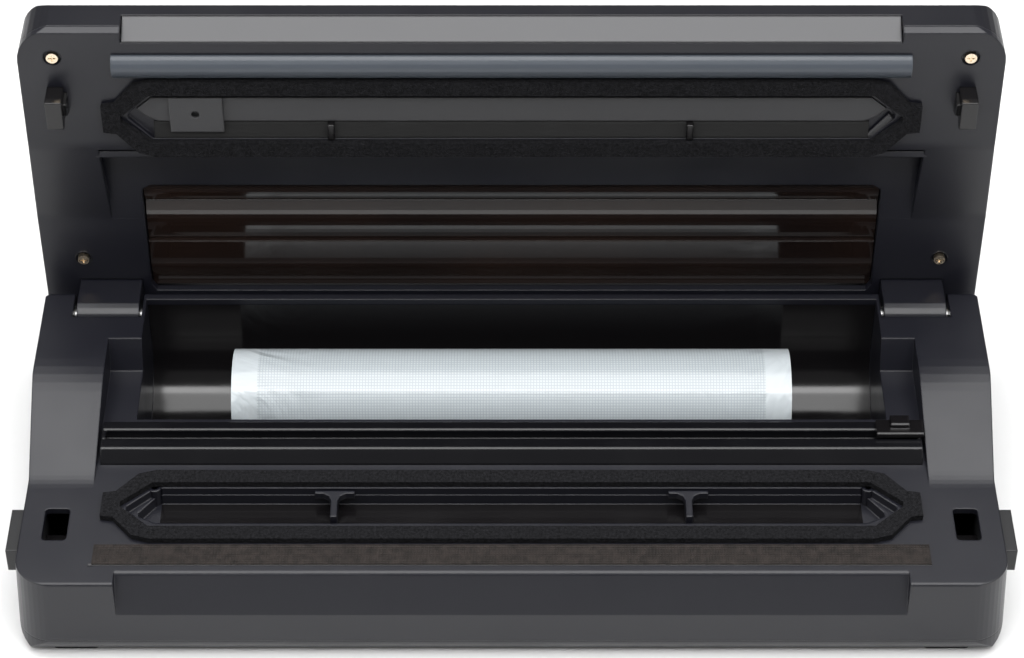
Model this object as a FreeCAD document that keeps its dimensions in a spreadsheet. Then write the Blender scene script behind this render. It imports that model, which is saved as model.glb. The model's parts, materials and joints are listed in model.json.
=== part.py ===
import FreeCAD, Part
import os

# Countertop vacuum bag sealer, modelled with its lid standing open.
# Millimetres, +Z up, front towards -Y, feet on z = 0, left-right centre on x = 0.
# The lid turns about the line y = axis_y, z = axis_z.

doc = FreeCAD.newDocument("sealer")
sheet = doc.addObject("Spreadsheet::Sheet", "dims")

DIMS = [
    ("axis_y", 70.0), ("axis_z", 47.0),
    ("front_half", 190.4), ("rear_half", 193.8),
    ("deck_z", 40.8), ("hump_z", 54.2), ("split_z", 10.0), ("floor_z", 1.5),
    ("cheek_half", 164.5), ("bay_half", 151.0), ("bay_end", 2.0),
    ("roll_r", 19.6), ("roll_y", 42.0), ("roll_z", 27.0), ("roll_len", 228.0), ("core_r", 8.0),
    ("seal_y", -60.7), ("seal_len", 322.0), ("seal_w", 10.4),
    ("foam_y", -35.6), ("foam_t", 2.6), ("foam_half", 160.0),
    ("lid_face", 69.4), ("lid_rear", 82.4), ("lid_zone_half", 163.4),
    ("hook_x", 177.0), ("hook_w", 6.4), ("hook_zc", 160.2),
    ("slot_w", 9.6), ("slot_l", 16.8), ("slot_y", -44.2),
    ("arm_w", 25.6), ("arm_x", 166.6), ("arm_rad", 8.4), ("pin_r", 3.0),
    ("rail_len", 326.0), ("rail_y", -5.0), ("slider_x", 154.6), ("slider_w", 7.4),
    ("button_len", 22.0), ("button_h", 10.8), ("button_y", -44.5),
    ("foot_h", 1.5), ("origin_y", 12.0),
]
row = 1
for alias, value in DIMS:
    sheet.set("A%d" % row, alias)
    sheet.set("B%d" % row, str(value))
    sheet.setAlias("B%d" % row, alias)
    row += 1
doc.recompute()
D = {}
for alias, value in DIMS:
    D[alias] = float(getattr(sheet, alias))

NODES = []


def bind(obj, prop, expr):
    """Drive a property from the dimension sheet (expr uses sheet aliases)."""
    words = expr
    for alias in sorted(D, key=len, reverse=True):
        words = words.replace("$" + alias, "dims." + alias)
    obj.setExpression(prop, words)


def place(obj, x, y, z):
    """Position an object; each coordinate is a number or an expression in text."""
    for axis, value in (("x", x), ("y", y), ("z", z)):
        bind(obj, "Placement.Base." + axis, str(value))
    return obj


def box(name, size, at):
    """A plain block, `at` is its low corner."""
    obj = doc.addObject("Part::Box", name)
    for prop, value in zip(("Length", "Width", "Height"), size):
        bind(obj, prop, str(value))
    return place(obj, *at)


def rod(name, radius, length, at, axis="Z"):
    """A cylinder whose base centre is `at`."""
    obj = doc.addObject("Part::Cylinder", name)
    bind(obj, "Radius", str(radius))
    bind(obj, "Height", str(length))
    turn = {"Z": FreeCAD.Rotation(), "X": FreeCAD.Rotation(FreeCAD.Vector(0, 1, 0), 90),
            "Y": FreeCAD.Rotation(FreeCAD.Vector(1, 0, 0), -90)}[axis]
    obj.Placement = FreeCAD.Placement(FreeCAD.Vector(), turn)
    return place(obj, *at)


def prism(name, plane, points, length, at=(0, 0, 0), midplane=True, reverse=False):
    """A polygon sketched on one of the body's own planes and padded."""
    body = doc.addObject("PartDesign::Body", name)
    sketch = body.newObject("Sketcher::SketchObject", name + "_sketch")
    base = [f for f in body.Origin.OriginFeatures if f.Role == plane + "_Plane"][0]
    sketch.AttachmentSupport = [(base, "")]
    sketch.MapMode = "FlatFace"
    count = len(points)
    for i in range(count):
        a = FreeCAD.Vector(points[i][0], points[i][1], 0)
        b = FreeCAD.Vector(points[(i + 1) % count][0], points[(i + 1) % count][1], 0)
        sketch.addGeometry(Part.LineSegment(a, b), False)
    pad = body.newObject("PartDesign::Pad", name + "_pad")
    pad.Profile = sketch
    pad.Midplane = midplane
    pad.Reversed = reverse
    bind(pad, "Length", str(length))
    body.Tip = pad
    return place(body, *at)


def join(name, shapes):
    obj = doc.addObject("Part::MultiFuse", name)
    obj.Shapes = shapes
    return obj


def cut(name, base, tools):
    obj = doc.addObject("Part::Cut", name)
    obj.Base = base
    obj.Tool = tools[0] if len(tools) == 1 else join(name + "_tools", tools)
    return obj


def both(name, left, right):
    """Two solids that stay separate inside one node."""
    obj = doc.addObject("Part::Compound", name)
    obj.Links = [left, right]
    return obj


def node(name, obj):
    obj.Label = name
    NODES.append((name, obj))
    return obj


def side(points):
    """Side-view points given from the lid axis: (y, z) offsets to frame values."""
    return [(D["axis_y"] + y, D["axis_z"] + z) for y, z in points]


def mirrored(points):
    """Close a half outline (x > 0) with its mirror image."""
    return points + [(-x, y) for x, y in reversed(points)]


def arc(cx, cy, rad, start, end, steps):
    """Points along a circle arc, degrees."""
    import math
    out = []
    for i in range(steps + 1):
        a = math.radians(start + (end - start) * i / steps)
        out.append((cx + rad * math.cos(a), cy + rad * math.sin(a)))
    return out


def soft(points, radii, steps=4):
    """Round the corners of a closed outline; radius 0 keeps a corner sharp."""
    import math
    out = []
    for i, (point, rad) in enumerate(zip(points, radii)):
        if rad <= 0:
            out.append(point)
            continue
        here = FreeCAD.Vector(point[0], point[1], 0)
        back = (FreeCAD.Vector(points[i - 1][0], points[i - 1][1], 0) - here).normalize()
        ahead = points[(i + 1) % len(points)]
        fore = (FreeCAD.Vector(ahead[0], ahead[1], 0) - here).normalize()
        half = back.getAngle(fore) / 2
        centre = here + (back + fore).normalize() * (rad / math.sin(half))
        start = here + back * (rad / math.tan(half)) - centre
        stop = here + fore * (rad / math.tan(half)) - centre
        for k in range(steps + 1):
            spoke = (start * (steps - k) + stop * k).normalize() * rad
            out.append((centre.x + spoke.x, centre.y + spoke.y))
    return out


def oval(cx, cy, half_x, half_y, start, end, steps):
    """Points along part of an ellipse, degrees."""
    unit = arc(0.0, 0.0, 1.0, start, end, steps)
    return [(cx + half_x * x, cy + half_y * y) for x, y in unit]


# ---------------------------------------------------------------- base shells

def plan_outline(inset, front_half, rear_half, front):
    """Plan view of the base at one height: front edge, slight widening to the rear."""
    f = front_half - inset
    r = rear_half - inset
    y = front + inset
    back = 77.4 - inset
    rad = 14.0 - min(inset, 6.0)
    half = arc(f - rad, y + rad, rad, -90, 0, 10)
    half += [(f, -20.0), (r, 27.0), (r, back - 4.0), (r - 4.0, back)]
    return mirrored(half)


def base_side(drop):
    """Side view of the base block."""
    points = [(-146.0, -6.2 - drop), (-147.2 + drop, -38.5), (-143.0 + drop, -45.5 + drop),
              (3.4 - drop, -45.5 + drop), (7.4 - drop, -41.0), (7.4 - drop, 4.6),
              (4.8 - drop, 7.2 - drop), (-43.0, 7.2 - drop), (-90.2, -6.2 - drop)]
    if drop > 0:
        return side(points)
    return side(soft(points, [1.2, 8.0, 3.0, 0, 1.5, 1.5, 1.5, 60.0, 30.0]))


def base_front(drop):
    """Front view of the base block: the lower edges turn in with a wide round."""
    half = arc(180.7, 14.0, 12.5 - drop, -90, 0, 8)
    return mirrored(half + [(197.0 - drop, 80.0)])


def drafted(name, low, high, z_low, z_high):
    """A flat-sided solid between two outlines whose edges run parallel."""
    bottom = [FreeCAD.Vector(x, y, z_low) for x, y in low]
    top = [FreeCAD.Vector(x, y, z_high) for x, y in high]
    faces = [Part.Face(Part.makePolygon(ring + ring[:1])) for ring in (bottom, top)]
    for i in range(len(bottom)):
        k = (i + 1) % len(bottom)
        faces.append(Part.Face(Part.makePolygon([bottom[i], bottom[k], top[k], top[i], bottom[i]])))
    obj = doc.addObject("Part::Feature", name)
    obj.Shape = Part.Solid(Part.Shell(faces))
    return obj


def base_block(name, drop):
    """The block common to the side view, the front view and the drafted plan."""
    prof = prism(name + "_side", "YZ", base_side(drop), 400)
    face = prism(name + "_face", "XZ", base_front(drop), 400)
    f = D["front_half"]
    r = D["rear_half"]
    plan = drafted(name + "_plan", plan_outline(drop, f + 2.3, r + 2.3, -77.75),
                   plan_outline(drop, f - 1.7, r - 1.7, -74.75), -5.0, 75.0)
    obj = doc.addObject("Part::MultiCommon", name)
    obj.Shapes = [prof, face, plan]
    return obj


def foam_outline(grow):
    """Half outline of the vacuum gasket in the chamber plane."""
    h = D["foam_half"] + grow
    return [(140.0, -18.6 - grow), (147.0, -16.5 - grow), (155.0, -7.0 - grow), (h, -6.3 - grow),
            (h, 6.3 + grow), (155.0, 7.0 + grow), (147.0, 16.5 + grow), (140.0, 18.6 + grow)]


def foam_inner(grow):
    return [(141.0, -11.8 - grow), (152.8 + grow, -1.2), (152.8 + grow, 1.2), (141.0, 11.8 + grow)]


def lower_shell():
    outer = base_block("low_outer", 0.0)
    top = box("low_top", (420, 200, 80), (-210, -100, "$split_z"))
    inner = base_block("low_inner", 2.4)
    hollow = join("low_hollow", [top, inner])
    wells = []
    for i, (x, y) in enumerate(((-150, -62), (150, -62), (-150, 62), (150, 62))):
        wells.append(rod("low_well%d" % i, 2.2, 12, (x, y, 0)))
    return node("lower_shell", cut("lower_shell_cut", outer, [hollow] + wells))


def deck_shell():
    outer = base_block("deck_outer", 0.0)
    trough = prism("deck_trough", "YZ", side(bay_points(1.1)), "$bay_half * 2 + 5")
    below = cut("deck_below", box("deck_low", (420, 200, "$split_z + 10"), (-210, -100, -10)),
                [trough])
    mid = prism("deck_mid", "YZ", side([(-22.2, 9.0), (-22.2, 7.2), (-27.5, -6.2), (-99.0, -6.2),
                                        (-99.0, 9.0)]), "$cheek_half * 2")
    bay = prism("deck_bay", "YZ", side(bay_points(0.0)), "$bay_half * 2")
    pocket1 = prism("deck_step1", "XY", mirrored([(140.0, -10.6), (148.0, -3.0), (150.5, -1.0),
                    (150.5, 1.0), (140.0, 11.0)]), 12, (0, "$foam_y", "$deck_z - 3.6"), False)
    pocket2 = prism("deck_step2", "XY", mirrored([(139.0, -4.6), (146.0, -1.0), (146.0, 1.0),
                    (139.0, 10.6)]), 12, (0, "$foam_y", "$deck_z - 8.4"), False)
    scoop = prism("deck_scoop", "YZ", side([(-138.8, -6.0), (-138.8, -6.2), (-139.5, -6.45),
                                            (-140.2, -7.2), (-146.9, -23.4), (-147.4, -24.4),
                                            (-149.0, -24.4), (-149.0, -6.0)]), 304.0)
    tools = [below, mid, bay, pocket1, pocket2, scoop]
    for i, x in enumerate((-140.4, 140.4)):
        tools.append(rod("boss_seat%d" % i, 2.8, 12, (x, -23.6, "$deck_z - 8.4")))
    tools += deck_cavities() + deck_slots() + arm_notches()
    return node("deck_shell", cut("deck_shell_cut", outer, tools))


def bay_points(wall):
    """Side view of the roll bay, grown by the wall thickness: a rounded trough."""
    w = wall
    curve = oval(-27.2, -14.0, 28.7 + w, 27.6 + w, 0, -180, 14)
    return [(1.5 + w, 9.0)] + curve + [(-55.9 - w, 9.0)]


def deck_cavities():
    """Hollows under the skin: front bay for the seal parts, side bays for pump and board."""
    front = prism("cav_front", "YZ", side([(-60.6, -9.0), (-60.6, -50.0), (-143.8, -50.0),
                  (-143.4, -27.0), (-137.6, -9.0), (-119.6, -9.0), (-119.6, -17.0),
                  (-90.6, -17.0), (-90.6, -9.0)]), 368)
    out = [front]
    for sign, tag in ((-1, "l"), (1, "r")):
        out.append(box("cav_latch_" + tag, (20, 34, 14), (-184 if sign < 0 else 164, -52, 24)))
    for sign, tag in ((-1, "l"), (1, "r")):
        x = "-187.6" if sign < 0 else "153.6"
        rear = prism("cav_rear_" + tag, "YZ", side([(4.6, -50.0), (4.6, -11.5), (-11.8, -11.5),
                     (-11.8, 4.4), (-42.0, 4.4), (-60.8, -1.0), (-60.8, -50.0)]), 34,
                     (x, 0, 0), False)
        rib = box("cav_rib_" + tag, (12.0, 34, 60), (-165 if sign < 0 else 153, 12.0, -20))
        keep = prism("cav_keep_" + tag, "YZ", side([(5.0, 6.0), (5.0, -8.8), (-61.0, -8.8),
                     (-61.0, 6.0)]), 13, ("-166.6" if sign < 0 else "153.6", 0, 0), False)
        out.append(cut("cav_cut_" + tag, rear, [keep]))
    return out


def deck_slots():
    """Latch slots in the deck and windows in the side walls for the release buttons."""
    out = []
    for sign, tag in ((-1, "l"), (1, "r")):
        cx = "-$hook_x" if sign < 0 else "$hook_x"
        w = D["slot_w"] / 2
        l = D["slot_l"] / 2
        outline = soft([(-w, -l), (w, -l), (w, l), (-w, l)], [1.5, 1.5, 1.5, 1.5])
        out.append(prism("slot_" + tag, "XY", outline, 14, (cx, "$slot_y", "$deck_z - 8"), False))
        x0 = "-200" if sign < 0 else "184"
        out.append(box("win_" + tag, (16, "$button_len + 0.8", "$button_h + 0.8"),
                       (x0, "$button_y - $button_len / 2 - 0.4", "$deck_z - 3.0 - $button_h - 0.4")))
    return out


def arm_notches():
    """Open notches at the rear that let the lid arms turn."""
    out = []
    for sign, tag in ((-1, "l"), (1, "r")):
        cx = "-$arm_x" if sign < 0 else "$arm_x"
        out.append(box("notch_" + tag, ("$arm_w + 3.0", 24, 30),
                       (cx + " - $arm_w / 2 - 1.5", "$axis_y - $arm_rad - 0.7", "$axis_z - 9.4")))
        start = " - $arm_w / 2 - 5" if sign < 0 else " - $arm_w / 2 - 1.5"
        out.append(rod("pinhole_" + tag, "$pin_r", "$arm_w + 6.5",
                       (cx + start, "$axis_y", "$axis_z"), "X"))
    return out


def feet():
    pads = []
    outline = soft([(-10, -6), (10, -6), (10, 6), (-10, 6)], [3.0, 3.0, 3.0, 3.0])
    for i, (x, y) in enumerate(((-170, -66), (170, -66), (-170, 64), (170, 64))):
        pads.append(prism("foot%d" % i, "XY", outline, "$foot_h", (x, y, 0), False))
    obj = doc.addObject("Part::Compound", "feet_group")
    obj.Links = pads
    return node("feet", obj)


def base_screws():
    group = []
    for i, (x, y) in enumerate(((-150, -62), (150, -62), (-150, 62), (150, 62))):
        head = rod("bs_head%d" % i, 2.1, 1.6, (x, y, 1.6))
        group.append(head)
    obj = doc.addObject("Part::Compound", "base_screw_group")
    obj.Links = group
    return node("base_screws", obj)


# ---------------------------------------------------------------- seal parts on the base

def gasket(name, y, z, turned):
    """Foam ring; turned = standing in the lid plane."""
    ring = cut(name + "_ring",
               prism(name + "_out", "XY", mirrored(foam_outline(0.0)), "$foam_t", (0, 0, 0), False),
               [prism(name + "_in", "XY", mirrored(foam_inner(0.0)), "$foam_t + 4",
                      (0, 0, -2), False)])
    if turned:
        # the plane of the ring turns up and its thickness faces the front
        ring.Placement = FreeCAD.Placement(FreeCAD.Vector(), FreeCAD.Rotation(
            FreeCAD.Vector(1, 0, 0), 90))
    return place(ring, 0, y, z)


def base_gasket():
    return node("base_gasket", gasket("base_foam", "$foam_y", "$deck_z", False))


def seal_parts():
    x0 = "-$seal_len / 2"
    bed = box("bed", ("$seal_len", "$seal_w", 0.3),
              (x0, "$seal_y - $seal_w / 2", "$deck_z"))
    node("seal_bed", bed)
    wire = box("wire", ("$seal_len - 4", 3.0, 0.15), (x0 + " + 2", "$seal_y - 1.5",
                                                      "$deck_z + 0.3"))
    node("heating_element", wire)
    tape = cut("tape_cut", box("tape", ("$seal_len", "$seal_w", 0.4),
                               (x0, "$seal_y - $seal_w / 2", "$deck_z + 0.3")),
               [box("tape_under", ("$seal_len - 4", 3.0, 0.15), (x0 + " + 2", "$seal_y - 1.5",
                                                                 "$deck_z + 0.3"))])
    node("ptfe_tape", tape)


def trough_parts():
    posts = []
    for i, x in enumerate((-69.5, 69.5)):
        stem = box("tee_stem%d" % i, (2.6, 14.2, 7.7), (x - 1.3, -39.4, "$deck_z - 8.4"))
        bar = box("tee_bar%d" % i, (15.6, 1.6, 2.8), (x - 7.8, -26.8, "$deck_z - 3.5"))
        web = prism("tee_web%d" % i, "XY", [(-4.4, -26.8), (-2.2, -28.2), (-1.3, -30.6),
                    (1.3, -30.6), (2.2, -28.2), (4.4, -26.8)], 2.8, (x, 0, "$deck_z - 3.5"), False)
        posts.append(join("tee%d" % i, [stem, bar, web]))
    node("bag_supports", both("bag_support_pair", posts[0], posts[1]))
    caps = []
    for i, x in enumerate((-140.4, 140.4)):
        tube = rod("boss%d" % i, 2.6, 8.0, (x, -23.6, "$deck_z - 8.4"))
        hole = rod("bossh%d" % i, 1.3, 9.0, (x, -23.6, "$deck_z - 7.0"))
        caps.append(cut("boss_cut%d" % i, tube, [hole]))
    node("air_bosses", both("air_boss_pair", caps[0], caps[1]))


def cutter_rail():
    points = [(-62.3, -6.2), (-81.8, -6.2), (-77.6, -0.8), (-72.0, -0.8), (-72.0, -5.2),
              (-67.5, -5.2), (-67.5, -0.8), (-62.3, -0.8)]
    outline = side(soft(points, [0, 0, 1.1, 1.0, 0, 0, 1.0, 0.8]))
    bar = prism("rail_bar", "YZ", outline, "$rail_len")
    pieces = [bar]
    for i, x in enumerate(("-$rail_len / 2", "$rail_len / 2 - 1.4")):
        pieces.append(box("rail_stop%d" % i, (1.4, 4.5, 4.4), (x, -2.0, "$deck_z + 0.8")))
    node("cutter_rail", join("rail_join", pieces))


def cutter_slider():
    """Grip with two low wings and a raised middle; its keel runs in the rail's slot."""
    wing = side(soft([(-64.0, -0.4), (-72.4, -0.4), (-72.4, 1.8), (-64.0, 1.8)],
                     [0, 0.4, 0.9, 0.6]))
    peak = side(soft([(-63.4, -0.4), (-69.4, -0.4), (-69.1, 3.8), (-63.4, 3.8)],
                     [0, 0, 0.9, 0.6]))
    wings = prism("slide_wings", "YZ", wing, 18.8, ("$slider_x", 0, 0))
    top = prism("slide_top", "YZ", peak, "$slider_w", ("$slider_x", 0, 0))
    keel = box("slide_keel", (8.0, 1.0, 4.9), ("$slider_x - 4", -0.3, "$deck_z + 1.2"))
    groove = box("slide_groove", (7.0, 0.4, 3.4), ("$slider_x - 3.5", 0.0, "$deck_z + 1.2"))
    body = cut("slide_cut", join("slide_join", [wings, top, keel]), [groove])
    node("cutter_slider", body)
    blade = box("blade", (7.0, 0.4, 3.4), ("$slider_x - 3.5", 0.0, "$deck_z + 1.2"))
    node("cutter_blade", blade)


# ---------------------------------------------------------------- bag roll

def bag_roll():
    x0 = "-$roll_len / 2"
    film = cut("film_cut", rod("film", "$roll_r", "$roll_len", (x0, "$roll_y", "$roll_z"), "X"),
               [rod("film_bore", "$core_r + 1.5", "$roll_len + 2", (x0 + " - 1", "$roll_y",
                                                                    "$roll_z"), "X")])
    node("bag_roll", film)
    core = cut("core_cut", rod("core", "$core_r + 1.5", "$roll_len", (x0, "$roll_y", "$roll_z"),
                               "X"),
               [rod("core_bore", "$core_r", "$roll_len + 2", (x0 + " - 1", "$roll_y",
                                                              "$roll_z"), "X")])
    node("roll_core", core)


# ---------------------------------------------------------------- release buttons and latches

def release(sign, tag):
    """Side push button and the sprung catch that holds the lid hook."""
    z0 = "$deck_z - 3.0 - $button_h"
    x0 = "-195.6" if sign < 0 else "182.6"
    cap = box("cap_" + tag, (13.0, "$button_len", "$button_h"), (x0, "$button_y - $button_len / 2",
                                                               z0))
    flange_x = "-183.6" if sign < 0 else "182.6"
    flange = box("flange_" + tag, (1.0, "$button_len + 4", "$button_h + 1.6"),
                 (flange_x, "$button_y - $button_len / 2 - 2", z0 + " - 2"))
    node("release_button_" + tag, join("button_join_" + tag, [cap, flange]))
    bar = box("catch_bar_" + tag, (26.0, 10.0, 3.0),
              ("-182.6" if sign < 0 else "156.6", "$button_y - 5", "$deck_z - 14.0"))
    lip = box("catch_lip_" + tag, (2.4, 10.0, 6.0),
              ("-171.0" if sign < 0 else "168.6", "$button_y - 5", "$deck_z - 11.6"))
    node("latch_catch_" + tag, join("catch_join_" + tag, [bar, lip]))
    leaf = box("leaf_" + tag, (0.8, 14.0, 6.0), ("-152.4" if sign < 0 else "151.6",
               "$button_y - 7", "$deck_z - 17.4"))
    node("latch_spring_" + tag, leaf)


# ---------------------------------------------------------------- inside the base

def inside():
    node("pump_housing", box("pump", (52, 40, 23.6), (-60, -66, 5.0)))
    motor = rod("motor", 11.5, 44, (-8, -54, 16.6), "X")
    node("pump_motor", motor)
    node("transformer", box("trafo", (48, 40, 18), (60, -66, 5.0)))
    node("control_board", box("board", (46, 48, 1.6), (112, -68, 8.0)))
    node("vacuum_tube", rod("tube", 2.5, 60, (-121.0, -54, 20.0), "X"))
    pins = []
    for i, x in enumerate(("-$arm_x - $arm_w / 2 - 4", "$arm_x - $arm_w / 2 - 1")):
        pins.append(rod("pin%d" % i, "$pin_r - 0.05", "$arm_w + 5", (x, "$axis_y", "$axis_z"), "X"))
    node("hinge_pins", both("hinge_pin_pair", pins[0], pins[1]))


# ---------------------------------------------------------------- lid, standing open

def lid_side(drop):
    """Side view of the lid block standing upright, offsets from the axis."""
    d = drop
    points = [(-0.6 + d, 145.9 - d), (2.5, 147.0 - d), (16.0 - d, 147.0 - d),
              (19.0 - d, 144.4 - d), (30.0 - d, 60.0), (31.5 - d, 20.0), (30.5 - d, -4.0),
              (25.0 - d, -10.0 + d), (15.0 + d, -10.0 + d), (12.4 + d, -7.4 + d),
              (12.4 + d, 43.2), (-0.6 + d, 90.2)]
    if d > 0:
        return side(points)
    return side(soft(points, [0.8, 2.0, 2.0, 3.0, 0, 0, 6.0, 5.0, 1.0, 1.0, 20.0, 20.0]))


def lid_plan(inset):
    """Front view of the lid (x, z)."""
    f = D["front_half"] - inset
    r = D["rear_half"] - inset
    top = 47.0 + 147.2 - inset
    rad = 15.0 - min(inset, 6.0)
    half = [(r - 4.0, 37.0 + inset), (r, 41.0 + inset), (r, 90.0), (f + 0.3, 137.0)]
    half += arc(f - rad, top - rad, rad, 0, 90, 8)
    return mirrored(half)


def lid_block(name, drop):
    prof = prism(name + "_side", "YZ", lid_side(drop), 400)
    plan = prism(name + "_front", "XZ", lid_plan(drop), 60, (0, 60, 0), False, True)
    obj = doc.addObject("Part::Common", name)
    obj.Base = prof
    obj.Tool = plan
    return obj


GRIP_CUT = [(-3.0, 141.2), (2.9, 141.2), (2.9, 140.1), (9.45, 143.8), (9.45, 150.0),
            (-3.0, 150.0)]


def panel_keep(name, grow):
    """The layer that belongs to the inner panel: a skin behind the mating face."""
    g = grow
    return prism(name, "YZ", side([(-2.0, 150.0), (2.6 + g, 150.0), (2.6 + g, 91.0),
                 (15.6 + g, 44.0), (15.6 + g, -12.0), (10.0, -12.0), (10.0, 42.0),
                 (-2.0, 88.0)]), 420)


def window_pocket(depth, name, grow):
    pts = [(148.0 + grow, 49.6 - grow), (150.0 + grow, 53.0), (150.0 + grow, 101.2),
           (149.6 + grow, 104.5 + grow), (146.5, 106.7 + grow)]
    return prism(name, "XZ", mirrored(pts), depth, (0, "$lid_rear - 2", 0), False, True)


def lid_parts():
    panel = doc.addObject("Part::Common", "panel_core")
    panel.Base = lid_block("panel_block", 0.0)
    panel.Tool = panel_keep("panel_layer", 0.0)
    mid = prism("panel_mid", "YZ", side([(-1.0, 88.4), (12.4, 83.0), (12.4, 42.0),
                                         (-1.0, 42.0)]), "$lid_zone_half * 2")
    shelf = prism("panel_shelf", "YZ", side([(1.0, 86.5), (13.5, 86.5), (15.6, 43.0),
                                             (12.4, 43.0), (12.4, 83.0), (1.0, 83.4)]),
                  "$lid_zone_half * 2 + 2")
    win = window_pocket(12, "panel_window", 0.0)
    chamber = prism("panel_chamber", "XZ", mirrored([(141.0, 141.4), (150.0, 151.4),
                    (150.0, 153.4), (141.0, 163.4)]), 3.4, (0, 68.0, 0), False, True)
    grip = prism("panel_grip", "YZ", side(GRIP_CUT), 300)
    trim = cut("panel_trim", panel, [mid])
    full = join("panel_full", [trim, shelf])
    ports = [rod("port_hole", 1.6, 8, (-123.6, 66, 153.6), "Y")]
    wells = []
    for i, (x, y, z) in enumerate(((-176.8, 66, 181.0), (176.8, 66, 181.0),
                                   (-177.0, 78, 67.5), (177.0, 78, 67.5))):
        wells.append(rod("well%d" % i, 3.4, 5.4, (x, y, z), "Y"))
    arms = []
    for sign, tag in ((-1, "l"), (1, "r")):
        cx = "-$arm_x" if sign < 0 else "$arm_x"
        arms.append(box("arm_gap_" + tag, ("$arm_w + 0.4", 20, 26), (cx + " - $arm_w / 2 - 0.2", 78,
                                                                   30)))
    node("lid_panel", cut("lid_panel_cut", full, [win, chamber, grip] + ports + wells + arms))
    return panel


def lid_shell():
    outer = lid_block("cover_block", 0.0)
    layer = panel_keep("cover_layer", 0.0)
    hollow = lid_block("cover_hollow_block", 2.6)
    grip = prism("cover_grip", "YZ", side(GRIP_CUT), 300)
    opening = prism("cover_window", "XZ", mirrored([(142.0, 55.6), (144.0, 58.0), (144.0, 97.0),
                    (141.0, 100.7)]), 40, (0, "$lid_rear - 2", 0), False, True)
    behind = box("cover_behind", (330, 18, 60), (-165, 60, 87))
    keys = []
    for i, x in enumerate((150.0, 168.0)):
        keys.append(rod("key_hole%d" % i, 5.3, 20, (x, 84, 140.0), "Y"))
    node("lid_shell", cut("lid_shell_cut", outer, [layer, hollow, grip, opening, behind] + keys))


def lid_window():
    """Smoked pane with two bulged bands across its top and a plain field below."""
    upper = oval(33.2, 54.2, 18.0, 18.0, 171, 196, 7)
    lower = oval(48.2, 35.2, 33.0, 33.0, 166, 192, 8)
    field = [(15.2, 28.2), (14.75, 28.0), (14.6, 27.4), (14.6, 14.0), (15.9, 6.0), (15.9, 3.4),
             (20.0, 3.4)]
    pane = prism("pane", "YZ", side(upper + [(17.6, 47.5)] + lower + field + [(20.0, 57.0)]), 299.2)
    node("lid_window", pane)


def lid_seals():
    node("lid_gasket", gasket("lid_foam", "$lid_face", "$axis_z + 105.6", True))
    z = D["axis_z"] + 130.4
    half_round = [(D["lid_face"], z - 5.2), (D["lid_face"], z + 5.2)]
    half_round += [(D["lid_face"] - 1.2 - 2.8 * (1 - t * t), z + 5.2 * t)
                   for t in (1.0, 0.8, 0.55, 0.28, 0.0, -0.28, -0.55, -0.8, -1.0)]
    node("press_strip", prism("strip", "YZ", half_round, 308.4))


def hooks():
    for sign, tag in ((-1, "left"), (1, "right")):
        cx = "-$hook_x" if sign < 0 else "$hook_x"
        shank = prism("shank_" + tag, "YZ", [(69.4, 153.9), (69.4, 167.0), (62.0, 166.8),
                      (59.6, 166.4), (59.4, 153.9), (62.0, 153.4), (64.4, 155.6)], "$hook_w",
                      (cx, 0, 0))
        inner = "-$hook_x + 2.4" if sign < 0 else "$hook_x - 4.4"
        rib = prism("rib_" + tag, "YZ", [(69.4, 155.0), (69.4, 164.5), (63.0, 163.0),
                    (64.0, 157.0)], 2.0, (inner, 0, 0), False)
        node("lid_hook_" + tag, join("hook_join_" + tag, [shank, rib]))


def lid_arms():
    arms = []
    for i, sign in enumerate((-1, 1)):
        cx = "-$arm_x" if sign < 0 else "$arm_x"
        pts = [(15.2, -9.6), (15.2, 8.3)] + arc(0.0, 0.0, 8.54, 103.6, 262.0, 10)
        pts += [(6.0, -8.4), (9.0, -9.6)]
        body = prism("arm_body%d" % i, "YZ", side(pts), "$arm_w", (cx, 0, 0))
        bore = rod("arm_bore%d" % i, "$pin_r", "$arm_w + 2",
                   (cx + " - $arm_w / 2 - 1", "$axis_y", "$axis_z"), "X")
        arms.append(cut("arm%d" % i, body, [bore]))
    node("hinge_arms", both("hinge_arm_pair", arms[0], arms[1]))


def lid_details():
    plate = box("plate", (21.0, 1.2, 17.0), (-133.7, 68.8, 145.0))
    hole = rod("plate_hole", 1.6, 4, (-123.6, 67.8, 153.6), "Y")
    node("air_port_plate", cut("plate_cut", plate, [hole]))
    heads = []
    for i, (x, y, z) in enumerate(((-176.8, 69.0, 181.0), (176.8, 69.0, 181.0),
                                   (-177.0, 81.0, 67.5), (177.0, 81.0, 67.5))):
        head = rod("sc%d" % i, 2.3, 2.2, (x, y, z), "Y")
        slot1 = box("sx%d" % i, (2.8, 1.0, 0.6), (x - 1.4, y - 0.4, z - 0.3))
        slot2 = box("sz%d" % i, (0.6, 1.0, 2.8), (x - 0.3, y - 0.4, z - 1.4))
        heads.append(cut("screw%d" % i, head, [slot1, slot2]))
    obj = doc.addObject("Part::Compound", "lid_screw_group")
    obj.Links = heads
    node("lid_screws", obj)


def grip_pad():
    """Bright sloped facing in the finger recess of the lid's front edge."""
    node("grip_pad", prism("grip", "YZ", side([(-0.5, 141.25), (9.4, 146.65), (9.4, 143.9),
                           (2.8, 140.2), (2.8, 141.25)]), 299.4))


def control_keys():
    for i, (x, tag) in enumerate(((150.0, "seal"), (168.0, "vacuum"))):
        cap = rod("key_cap%d" % i, 4.9, 10.0, (x, 86.4, 140.0), "Y")
        node("key_" + tag, cap)


lower_shell()
deck_shell()
feet()
base_screws()
base_gasket()
seal_parts()
trough_parts()
cutter_rail()
cutter_slider()
bag_roll()
release(-1, "left")
release(1, "right")
inside()
lid_parts()
lid_shell()
lid_window()
lid_seals()
hooks()
lid_arms()
lid_details()
grip_pad()
control_keys()
doc.recompute()

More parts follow.
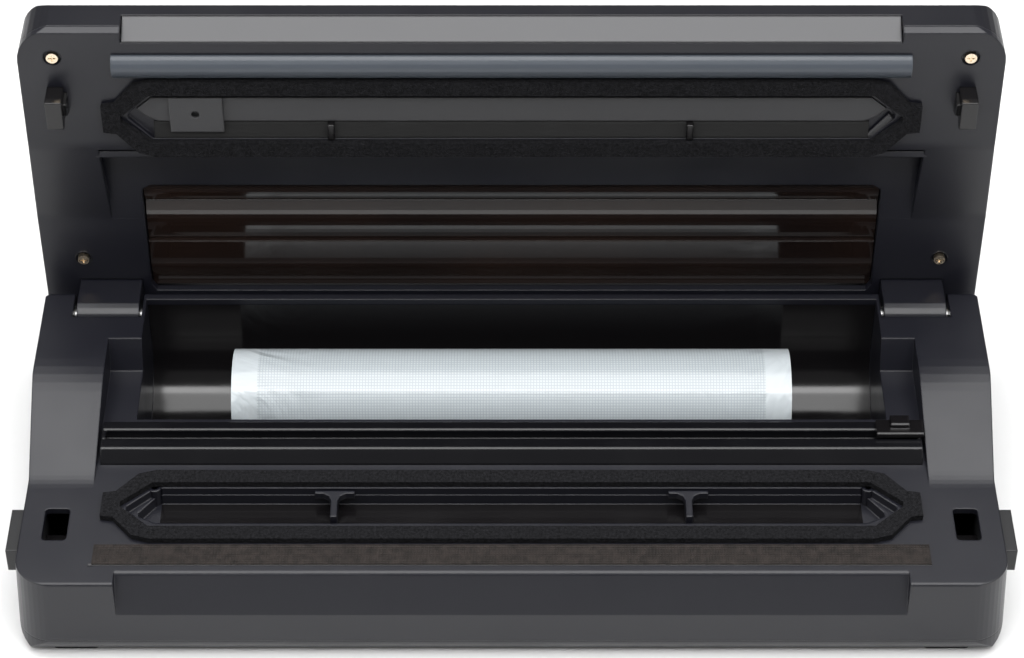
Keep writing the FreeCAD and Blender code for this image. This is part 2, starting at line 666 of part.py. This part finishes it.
bad = []
for obj in doc.Objects:
    if "Invalid" in obj.State or "Error" in obj.State:
        bad.append(obj.Name)
if bad:
    raise RuntimeError("objects not built: " + ", ".join(bad))
os.makedirs("parts", exist_ok=True)
for name, obj in NODES:
    shape = obj.Shape
    if shape.isNull() or not shape.isValid() or not shape.Solids:
        raise RuntimeError("bad shape in " + name)
    print(name, len(shape.Solids), round(shape.Volume / 1000.0, 2), shape.BoundBox)
for name, obj in NODES:
    # the handed-over origin is under the middle of the whole object, lid included
    shape = obj.Shape.copy()
    shape.translate(FreeCAD.Vector(0, -D["origin_y"], 0))
    shape.exportStep("parts/%s.step" % name)
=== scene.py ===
import json
import math

import bpy
import mathutils
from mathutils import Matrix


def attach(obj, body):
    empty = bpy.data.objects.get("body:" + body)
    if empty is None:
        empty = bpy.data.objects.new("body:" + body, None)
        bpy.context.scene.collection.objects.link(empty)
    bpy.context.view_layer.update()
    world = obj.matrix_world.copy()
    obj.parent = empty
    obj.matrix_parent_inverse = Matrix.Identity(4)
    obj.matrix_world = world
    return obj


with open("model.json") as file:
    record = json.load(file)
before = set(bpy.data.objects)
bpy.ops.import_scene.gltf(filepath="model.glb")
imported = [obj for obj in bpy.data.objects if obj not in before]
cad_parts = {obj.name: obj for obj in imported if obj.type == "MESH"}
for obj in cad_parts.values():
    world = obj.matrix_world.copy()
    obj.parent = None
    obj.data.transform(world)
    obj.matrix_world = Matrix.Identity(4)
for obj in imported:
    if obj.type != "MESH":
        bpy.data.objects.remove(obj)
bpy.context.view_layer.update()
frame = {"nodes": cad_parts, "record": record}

# Lengths are metres. The lid turns about the line y = AXIS_Y, z = AXIS_Z, and stands open at rest.
AXIS_Y = 0.058
AXIS_Z = 0.047
DECK = 0.0408                   # top of the base's front deck
LID_FACE = AXIS_Y - 0.0006      # the lid's inner face, near its free edge
LID_REAR = AXIS_Y + 0.0124      # the sunken part of that face, over the roll bay
CHAMBER_FLOOR = LID_FACE + 0.0020
CHAMBER_LOW = 0.1416            # lower and upper edges of the ramp under the chamber's back plate
CHAMBER_STEP = 0.1490
TROUGH_FLOOR = DECK - 0.0083

ROLL_Y = AXIS_Y - 0.028
ROLL_Z = 0.027
ROLL_R = 0.0196
ROLL_HALF = 0.114
FILM_PITCH = 0.0024             # spacing of the film's embossed lattice
FILM_PLAIN_END = 0.0105         # width of the plain band at each end of the roll
SKIN = 0.0001                   # how far a thin added piece stands off the face under it


# ---------------------------------------------------------------- materials

def new_material(name, color, rough, metallic=0.0, coat=0.0):
    mat = bpy.data.materials.new(name)
    mat.use_nodes = True
    bsdf = mat.node_tree.nodes["Principled BSDF"]
    bsdf.inputs["Base Color"].default_value = (color[0], color[1], color[2], 1.0)
    bsdf.inputs["Roughness"].default_value = rough
    bsdf.inputs["Metallic"].default_value = metallic
    bsdf.inputs["Coat Weight"].default_value = coat
    return mat, mat.node_tree, bsdf


def link(tree, a, out, b, into):
    tree.links.new(a.outputs[out], b.inputs[into])


def noise(tree, coords, scale, detail=2.0):
    node = tree.nodes.new("ShaderNodeTexNoise")
    node.inputs["Scale"].default_value = scale
    node.inputs["Detail"].default_value = detail
    link(tree, coords, "Object", node, "Vector")
    return node


def round_edges(tree, radius):
    """A small moulded radius on every sharp edge."""
    node = tree.nodes.new("ShaderNodeBevel")
    node.samples = 6
    node.inputs["Radius"].default_value = radius
    return node


def bump(tree, bsdf, source, out, strength, distance, below=None):
    node = tree.nodes.new("ShaderNodeBump")
    node.inputs["Strength"].default_value = strength
    node.inputs["Distance"].default_value = distance
    link(tree, source, out, node, "Height")
    if below is not None:
        link(tree, below, "Normal", node, "Normal")
    tree.links.new(node.outputs["Normal"], bsdf.inputs["Normal"])
    return node


def ramp(tree, source, out, low, high, to_low, to_high):
    node = tree.nodes.new("ShaderNodeMapRange")
    node.inputs["From Min"].default_value = low
    node.inputs["From Max"].default_value = high
    node.inputs["To Min"].default_value = to_low
    node.inputs["To Max"].default_value = to_high
    link(tree, source, out, node, "Value")
    return node


def tint(tree, bsdf, source, out, dark, light, low=0.3, high=0.7):
    node = tree.nodes.new("ShaderNodeValToRGB")
    node.color_ramp.elements[0].position = low
    node.color_ramp.elements[0].color = (dark[0], dark[1], dark[2], 1.0)
    node.color_ramp.elements[1].position = high
    node.color_ramp.elements[1].color = (light[0], light[1], light[2], 1.0)
    link(tree, source, out, node, "Fac")
    tree.links.new(node.outputs["Color"], bsdf.inputs["Base Color"])


def shell_material(name, color, rough, grain=0.00006, edge=0.0009):
    """Moulded plastic: rounded edges, a fine spark texture and a slow change of sheen."""
    mat, tree, bsdf = new_material(name, color, rough)
    coords = tree.nodes.new("ShaderNodeTexCoord")
    fine = noise(tree, coords, 2600.0, 3.0)
    slow = noise(tree, coords, 38.0, 3.0)
    bump(tree, bsdf, fine, "Fac", 0.35, grain, round_edges(tree, edge))
    var = ramp(tree, slow, "Fac", 0.3, 0.7, rough - 0.035, rough + 0.035)
    tree.links.new(var.outputs["Result"], bsdf.inputs["Roughness"])
    bsdf.inputs["Specular IOR Level"].default_value = 0.44
    return mat


def foam_material():
    """Dull black closed-cell foam with a fine speckle."""
    mat, tree, bsdf = new_material("foam", (0.02, 0.02, 0.021), 0.95)
    coords = tree.nodes.new("ShaderNodeTexCoord")
    cells = tree.nodes.new("ShaderNodeTexVoronoi")
    cells.inputs["Scale"].default_value = 1500.0
    link(tree, coords, "Object", cells, "Vector")
    speck = noise(tree, coords, 900.0, 4.0)
    tint(tree, bsdf, speck, "Fac", (0.0025, 0.0025, 0.003), (0.011, 0.011, 0.0125), 0.32, 0.68)
    bump(tree, bsdf, cells, "Distance", 0.9, 0.0004)
    bsdf.inputs["Specular IOR Level"].default_value = 0.12
    return mat


def film_material():
    """Milky bag film with an embossed lattice, plain and creased near both roll ends."""
    mat, tree, bsdf = new_material("bag_film", (0.38, 0.42, 0.44), 0.33, 0.0, 0.5)
    coords = tree.nodes.new("ShaderNodeTexCoord")
    split = tree.nodes.new("ShaderNodeSeparateXYZ")
    link(tree, coords, "Object", split, "Vector")

    def calc(op, a, b=None):
        node = tree.nodes.new("ShaderNodeMath")
        node.operation = op
        for socket, value in zip(node.inputs, (a, b)):
            if isinstance(value, float):
                socket.default_value = value
            elif value is not None:
                tree.links.new(value, socket)
        return node.outputs[0]

    x = split.outputs["X"]
    y = calc("SUBTRACT", split.outputs["Y"], ROLL_Y)
    z = calc("SUBTRACT", split.outputs["Z"], ROLL_Z)
    around = calc("MULTIPLY", calc("ARCTAN2", y, z), ROLL_R)
    turns = 2.0 * math.pi / FILM_PITCH
    ribs_a = calc("SINE", calc("MULTIPLY", x, turns))
    ribs_b = calc("SINE", calc("MULTIPLY", around, turns))
    lattice = calc("MAXIMUM", calc("POWER", calc("ABSOLUTE", ribs_a), 4.0),
                   calc("POWER", calc("ABSOLUTE", ribs_b), 4.0))
    inside = calc("LESS_THAN", calc("ABSOLUTE", x), ROLL_HALF - FILM_PLAIN_END)
    pattern = calc("MULTIPLY", lattice, inside)
    emboss = tree.nodes.new("ShaderNodeBump")
    emboss.inputs["Strength"].default_value = 0.5
    emboss.inputs["Distance"].default_value = 0.00012
    tree.links.new(pattern, emboss.inputs["Height"])
    folds = noise(tree, coords, 30.0, 3.0)
    folds.inputs["Distortion"].default_value = 1.6
    towards_end = ramp(tree, calc("ABSOLUTE", x).node, 0, ROLL_HALF - 0.045, ROLL_HALF - 0.012, 0.0, 1.0)
    height = calc("MULTIPLY", folds.outputs["Fac"], towards_end.outputs["Result"])
    creases = tree.nodes.new("ShaderNodeBump")
    creases.inputs["Strength"].default_value = 0.6
    creases.inputs["Distance"].default_value = 0.005
    tree.links.new(height, creases.inputs["Height"])
    tree.links.new(emboss.outputs["Normal"], creases.inputs["Normal"])
    tree.links.new(creases.outputs["Normal"], bsdf.inputs["Normal"])
    shade = tree.nodes.new("ShaderNodeValToRGB")
    shade.color_ramp.elements[0].color = (0.42, 0.455, 0.475, 1.0)
    shade.color_ramp.elements[1].color = (0.30, 0.335, 0.355, 1.0)
    tree.links.new(pattern, shade.inputs["Fac"])
    tree.links.new(shade.outputs["Color"], bsdf.inputs["Base Color"])
    bsdf.inputs["Subsurface Weight"].default_value = 0.1
    bsdf.inputs["Subsurface Radius"].default_value = (0.002, 0.002, 0.002)
    return mat


def tape_material():
    """Brown glass cloth coated with PTFE: a fine plain weave."""
    mat, tree, bsdf = new_material("ptfe", (0.05, 0.038, 0.036), 0.42)
    coords = tree.nodes.new("ShaderNodeTexCoord")
    weave = []
    for direction in ("X", "Y"):
        wave = tree.nodes.new("ShaderNodeTexWave")
        wave.bands_direction = direction
        wave.inputs["Scale"].default_value = 260.0
        wave.inputs["Distortion"].default_value = 0.6
        link(tree, coords, "Object", wave, "Vector")
        weave.append(wave)
    mix = tree.nodes.new("ShaderNodeMath")
    mix.operation = "MULTIPLY"
    link(tree, weave[0], "Fac", mix, 0)
    link(tree, weave[1], "Fac", mix, 1)
    bump(tree, bsdf, mix, 0, 0.6, 0.00015)
    spots = noise(tree, coords, 420.0, 3.0)
    tint(tree, bsdf, spots, "Fac", (0.007, 0.0055, 0.0048), (0.021, 0.0165, 0.0145), 0.3, 0.7)
    bsdf.inputs["Specular IOR Level"].default_value = 0.18
    return mat


def brushed_material(name, color, rough):
    """Bare metal with fine scratches."""
    mat, tree, bsdf = new_material(name, color, rough, 1.0)
    coords = tree.nodes.new("ShaderNodeTexCoord")
    fine = noise(tree, coords, 900.0, 4.0)
    bump(tree, bsdf, fine, "Fac", 0.15, 0.00003)
    var = ramp(tree, fine, "Fac", 0.3, 0.7, rough - 0.06, rough + 0.08)
    tree.links.new(var.outputs["Result"], bsdf.inputs["Roughness"])
    return mat


def card_material():
    """Brown fibre card of the roll's core."""
    mat, tree, bsdf = new_material("core_card", (0.45, 0.36, 0.25), 0.85)
    coords = tree.nodes.new("ShaderNodeTexCoord")
    fibre = noise(tree, coords, 700.0, 5.0)
    tint(tree, bsdf, fibre, "Fac", (0.36, 0.28, 0.19), (0.5, 0.42, 0.3))
    bump(tree, bsdf, fibre, "Fac", 0.3, 0.0001)
    return mat


def smoked_material():
    """Smoked brown window, polished on both faces."""
    mat, tree, bsdf = new_material("smoked", (0.010, 0.006, 0.005), 0.10, 0.0, 0.35)
    coords = tree.nodes.new("ShaderNodeTexCoord")
    slow = noise(tree, coords, 12.0, 2.0)
    tint(tree, bsdf, slow, "Fac", (0.007, 0.0045, 0.004), (0.014, 0.008, 0.006))
    bsdf.inputs["IOR"].default_value = 1.5
    bsdf.inputs["Coat Roughness"].default_value = 0.05
    return mat


MATS = {
    "shell_plastic": shell_material("shell_plastic", (0.0058, 0.0060, 0.0096), 0.36),
    "lid_plastic": shell_material("lid_plastic", (0.0040, 0.0041, 0.0068), 0.36),
    "rail_plastic": shell_material("rail_plastic", (0.0030, 0.0030, 0.0040), 0.20, 0.00002),
    "button_plastic": shell_material("button_plastic", (0.010, 0.010, 0.011), 0.42),
    "grip_plastic": shell_material("grip_plastic", (0.045, 0.045, 0.048), 0.30),
    "panel_plastic": shell_material("panel_plastic", (0.034, 0.034, 0.036), 0.45),
    "key_plastic": shell_material("key_plastic", (0.10, 0.10, 0.11), 0.4),
    "gloss_trim": shell_material("gloss_trim", (0.0042, 0.0038, 0.0042), 0.16, 0.000004),
    "foot_rubber": shell_material("foot_rubber", (0.003, 0.003, 0.003), 0.85, 0.0002),
    "strip_rubber": shell_material("strip_rubber", (0.046, 0.053, 0.064), 0.34, 0.00005),
    "silicone": shell_material("silicone", (0.25, 0.25, 0.25), 0.5),
    "board": shell_material("board", (0.015, 0.10, 0.05), 0.3, 0.00002),
    "foam": foam_material(),
    "bag_film": film_material(),
    "ptfe": tape_material(),
    "smoked": smoked_material(),
    "core_card": card_material(),
    "screw_steel": brushed_material("screw_steel", (0.55, 0.55, 0.55), 0.35),
    "screw_brass": brushed_material("screw_brass", (0.78, 0.66, 0.50), 0.30),
    "wire_steel": brushed_material("wire_steel", (0.6, 0.6, 0.6), 0.3),
    "motor_steel": brushed_material("motor_steel", (0.5, 0.5, 0.5), 0.4),
}


def give_material(obj, slot):
    obj.data.materials.clear()
    obj.data.materials.append(MATS[slot])


# ---------------------------------------------------------------- soft edges on the CAD nodes

BEVELS = {
    "deck_shell": 0.0006, "lower_shell": 0.0006, "lid_panel": 0.0005, "lid_shell": 0.0012,
    "cutter_rail": 0.0006, "cutter_slider": 0.0005, "grip_pad": 0.0006, "hinge_arms": 0.0012,
    "release_button_left": 0.0024, "release_button_right": 0.0024,
    "lid_hook_left": 0.0007, "lid_hook_right": 0.0007, "lid_window": 0.0008,
    "press_strip": 0.0005, "base_gasket": 0.0004, "lid_gasket": 0.0004, "bag_supports": 0.0003,
    "air_bosses": 0.0003, "key_seal": 0.0006, "key_vacuum": 0.0006, "feet": 0.0004,
    "lid_screws": 0.00025, "air_port_plate": 0.0002, "bag_roll": 0.0005,
}


def soften(obj, width):
    """Round the edges by `width` and keep the flat faces flat."""
    mod = obj.modifiers.new("soft_edges", "BEVEL")
    mod.width = width
    mod.segments = 3
    mod.limit_method = "ANGLE"
    mod.angle_limit = math.radians(32)
    mod.use_clamp_overlap = True
    flat = obj.modifiers.new("flat_faces", "WEIGHTED_NORMAL")
    flat.weight = 80
    flat.keep_sharp = True


def dress_cad_nodes():
    """Give every CAD node its material, and a soft or a crisp edge."""
    slots = {sub["node"]: sub["material_slot"] for sub in frame["record"]["subparts"]}
    for name, obj in frame["nodes"].items():
        give_material(obj, slots[name])
        obj.data.shade_smooth()
        if name in BEVELS:
            soften(obj, BEVELS[name])
        else:
            edge = obj.modifiers.new("crisp", "EDGE_SPLIT")
            edge.split_angle = math.radians(30)


dress_cad_nodes()


# ---------------------------------------------------------------- added pieces

def piece(name, verts, faces, body, slot, smooth=False, bevel=0.0):
    """A mesh that rides on `body` and wears the material of `slot`."""
    mesh = bpy.data.meshes.new(name)
    mesh.from_pydata(verts, [], faces)
    mesh.validate()
    obj = bpy.data.objects.new(name, mesh)
    bpy.context.scene.collection.objects.link(obj)
    obj.data.materials.append(MATS[slot])
    if bevel > 0.0:
        soften(obj, bevel)
    if smooth or bevel > 0.0:
        mesh.shade_smooth()
    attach(obj, body)
    return obj


def bar(name, low, high, body, slot, bevel):
    """A block between two opposite corners, with its edges rounded."""
    x0, y0, z0 = low
    x1, y1, z1 = high
    verts = [(x0, y0, z0), (x1, y0, z0), (x1, y1, z0), (x0, y1, z0),
             (x0, y0, z1), (x1, y0, z1), (x1, y1, z1), (x0, y1, z1)]
    faces = [(0, 3, 2, 1), (4, 5, 6, 7), (0, 1, 5, 4), (1, 2, 6, 5), (2, 3, 7, 6), (3, 0, 4, 7)]
    return piece(name, verts, faces, body, slot, False, bevel)


def ring_piece(name, centre, major, minor, sides):
    """A thin raised ring on the lid's inner face."""
    quat = mathutils.Vector((0, 0, 1)).rotation_difference(mathutils.Vector((0, -1, 0)))
    verts = []
    faces = []
    small = 8
    for i in range(sides):
        a = 2 * math.pi * i / sides
        k = (i + 1) % sides
        for j in range(small):
            b = 2 * math.pi * j / small
            m = (j + 1) % small
            r = major + minor * math.cos(b)
            p = mathutils.Vector((r * math.cos(a), r * math.sin(a), minor * math.sin(b)))
            verts.append(tuple(quat @ p + mathutils.Vector(centre)))
            faces.append((i * small + j, k * small + j, k * small + m, i * small + m))
    return piece(name, verts, faces, "lid", "shell_plastic", True)


def slab(name, outline, y_front, y_back, slot, bevel=0.0):
    """A plate standing in the lid: an (x, z) outline between two y planes."""
    count = len(outline)
    verts = [(x, y_front, z) for x, z in outline] + [(x, y_back, z) for x, z in outline]
    faces = [tuple(range(count)), tuple(range(2 * count - 1, count - 1, -1))]
    for i in range(count):
        k = (i + 1) % count
        faces.append((k, i, i + count, k + count))
    return piece(name, verts, faces, "lid", slot, False, bevel)


def lid_pin_marks():
    """Moulding marks that ejector pins left on the lid's inner face."""
    for i, (x, z) in enumerate(((-0.0925, 0.1270), (0.0405, 0.1266), (0.0925, 0.1266))):
        ring_piece("lid_pin_mark_%d" % i, (x, LID_REAR - SKIN, z), 0.0017, 0.00016, 28)


def chamber_back():
    """Pale plate on the chamber's floor, drawn to a point at both ends."""
    right = [(0.1385, CHAMBER_STEP), (0.1432, 0.1514), (0.1467, 0.1552), (0.1405, 0.1606)]
    left = [(-x, z) for x, z in right]
    outline = [left[2], left[1], left[0], right[0], right[1], right[2], right[3], left[3]]
    slab("chamber_back", outline, CHAMBER_FLOOR - 0.0006, CHAMBER_FLOOR - SKIN, "panel_plastic")


def chamber_ramp():
    """Dark slope from the chamber's back plate to the lid's face."""
    half = 0.1404
    top = CHAMBER_FLOOR - 2 * SKIN
    verts = [(-half, top, CHAMBER_STEP), (half, top, CHAMBER_STEP),
             (half, LID_FACE + SKIN, CHAMBER_LOW), (-half, LID_FACE + SKIN, CHAMBER_LOW),
             (-half, CHAMBER_FLOOR - SKIN, CHAMBER_LOW), (half, CHAMBER_FLOOR - SKIN, CHAMBER_LOW)]
    faces = [(0, 3, 2, 1), (3, 4, 5, 2), (0, 4, 3), (1, 2, 5), (0, 1, 5, 4)]
    piece("chamber_ramp", verts, faces, "lid", "foot_rubber")


def chamber_details():
    """Two stiffening posts, and the sloping wall at the right end, whose light grey plastic is a painted
    highlight.
    """
    for i, x in enumerate((-0.0708, 0.0700)):
        bar("chamber_post_%d" % i, (x - 0.0014, LID_FACE - 0.0012, CHAMBER_LOW - 0.0004),
            (x + 0.0014, CHAMBER_FLOOR - SKIN, CHAMBER_STEP - 0.0002), "lid", "gloss_trim", 0.0005)
    # Painted highlight: only the right end's sloping wall wears light grey plastic, standing in for
    # light on its slope.
    wall = [(0.1388, CHAMBER_LOW), (0.1424, CHAMBER_LOW), (0.1496, 0.1508), (0.1478, 0.1532)]
    slab("chamber_end_wall_painted_highlight", wall, LID_FACE + 0.0004, CHAMBER_FLOOR - 0.0007,
         "panel_plastic", 0.0003)


def bay_liner():
    """A thin glossy sheet just inside the roll bay's rounded wall."""
    steps = 36
    half = 0.1508
    rows = [(AXIS_Y + 0.0013, AXIS_Z + 0.0045)]
    for k in range(steps + 1):
        a = -math.pi * k / steps
        rows.append((AXIS_Y - 0.0272 + 0.0285 * math.cos(a), AXIS_Z - 0.0140 + 0.0274 * math.sin(a)))
    verts = [(x, y, z) for y, z in rows for x in (-half, half)]
    faces = [(2 * k, 2 * k + 1, 2 * k + 3, 2 * k + 2) for k in range(len(rows) - 1)]
    piece("bay_liner", verts, faces, "base", "gloss_trim", True)


def trough_floor():
    """Glossy floor of the base's vacuum trough."""
    half = 0.1380
    front = AXIS_Y - 0.1095
    rear = AXIS_Y - 0.0955
    verts = [(-half, front, TROUGH_FLOOR), (half, front, TROUGH_FLOOR),
             (half, rear, TROUGH_FLOOR), (-half, rear, TROUGH_FLOOR)]
    piece("trough_floor", verts, [(0, 1, 2, 3)], "base", "gloss_trim")


def tape_end():
    """Turned-up backing at the left end of the heating strip's tape."""
    bar("tape_end_left", (-0.1624, AXIS_Y - 0.1364, DECK + SKIN),
        (-0.1606, AXIS_Y - 0.1352, DECK + 0.0005), "base", "panel_plastic", 0.0001)


def lid_screw_seats():
    """Raised seats round the lid's four screws."""
    seats = [(-0.1768, LID_FACE, 0.1810), (0.1768, LID_FACE, 0.1810),
             (-0.1770, LID_REAR, 0.0675), (0.1770, LID_REAR, 0.0675)]
    for i, place in enumerate(seats):
        ring_piece("lid_screw_seat_%d" % i, place, 0.0035, 0.0002, 40)


lid_pin_marks()
chamber_back()
chamber_ramp()
chamber_details()
bay_liner()
trough_floor()
tape_end()
lid_screw_seats()


# ---------------------------------------------------------------- stage, light and camera

def stage_plane(name, size, z, color, rough):
    mesh = bpy.data.meshes.new(name)
    s = size / 2
    mesh.from_pydata([(-s, -s, z), (s, -s, z), (s, s, z), (-s, s, z)], [], [(0, 1, 2, 3)])
    obj = bpy.data.objects.new(name, mesh)
    bpy.context.scene.collection.objects.link(obj)
    mat = new_material(name + "_surface", color, rough)[0]
    obj.data.materials.append(mat)


def area(name, place, aim, size_x, size_y, power):
    """A soft rectangular light at `place`, turned towards `aim`."""
    data = bpy.data.lights.new(name, "AREA")
    data.shape = "RECTANGLE"
    data.size = size_x
    data.size_y = size_y
    data.energy = power
    obj = bpy.data.objects.new(name, data)
    bpy.context.scene.collection.objects.link(obj)
    obj.location = place
    direction = mathutils.Vector(aim) - mathutils.Vector(place)
    obj.rotation_euler = direction.to_track_quat("-Z", "Y").to_euler()


def build_world(strength):
    world = bpy.data.worlds.new("studio")
    bpy.context.scene.world = world
    world.use_nodes = True
    back = world.node_tree.nodes["Background"]
    back.inputs["Color"].default_value = (1.0, 1.0, 1.0, 1.0)
    back.inputs["Strength"].default_value = strength


def build_camera(pitch_deg, lens, distance, drop, shift):
    """A camera that looks down by `pitch_deg`, set from the middle of the hinge line."""
    pitch = math.radians(pitch_deg)
    forward = mathutils.Vector((0.0, math.cos(pitch), -math.sin(pitch)))
    upward = mathutils.Vector((0.0, math.sin(pitch), math.cos(pitch)))
    data = bpy.data.cameras.new("camera")
    data.lens = lens
    data.sensor_width = 36.0
    camera = bpy.data.objects.new("camera", data)
    bpy.context.scene.collection.objects.link(camera)
    camera.location = (mathutils.Vector((shift, AXIS_Y, AXIS_Z)) - distance * forward
                       - drop * upward)
    camera.rotation_euler = forward.to_track_quat("-Z", "Y").to_euler()
    bpy.context.scene.camera = camera


stage_plane("floor", 12.0, -0.0002, (0.70, 0.70, 0.70), 0.8)
build_world(0.22)
area("top_box", (0.0, 0.06, 1.25), (0.0, 0.02, 0.0), 1.8, 1.3, 32.0)
area("key_strip", (0.0, -0.64, 1.10), (0.0, 0.0, 0.03), 1.6, 0.24, 11.0)
area("left_box", (-1.4, -0.5, 0.6), (0.0, 0.0, 0.05), 0.8, 0.8, 4.0)
area("right_box", (1.4, -0.5, 0.6), (0.0, 0.0, 0.05), 0.8, 0.8, 4.0)
build_camera(42.55, 104.0, 1.22904, 0.00592, 0.0002)

bpy.context.scene.view_settings.view_transform = "Standard"
bpy.context.scene.view_settings.look = "None"
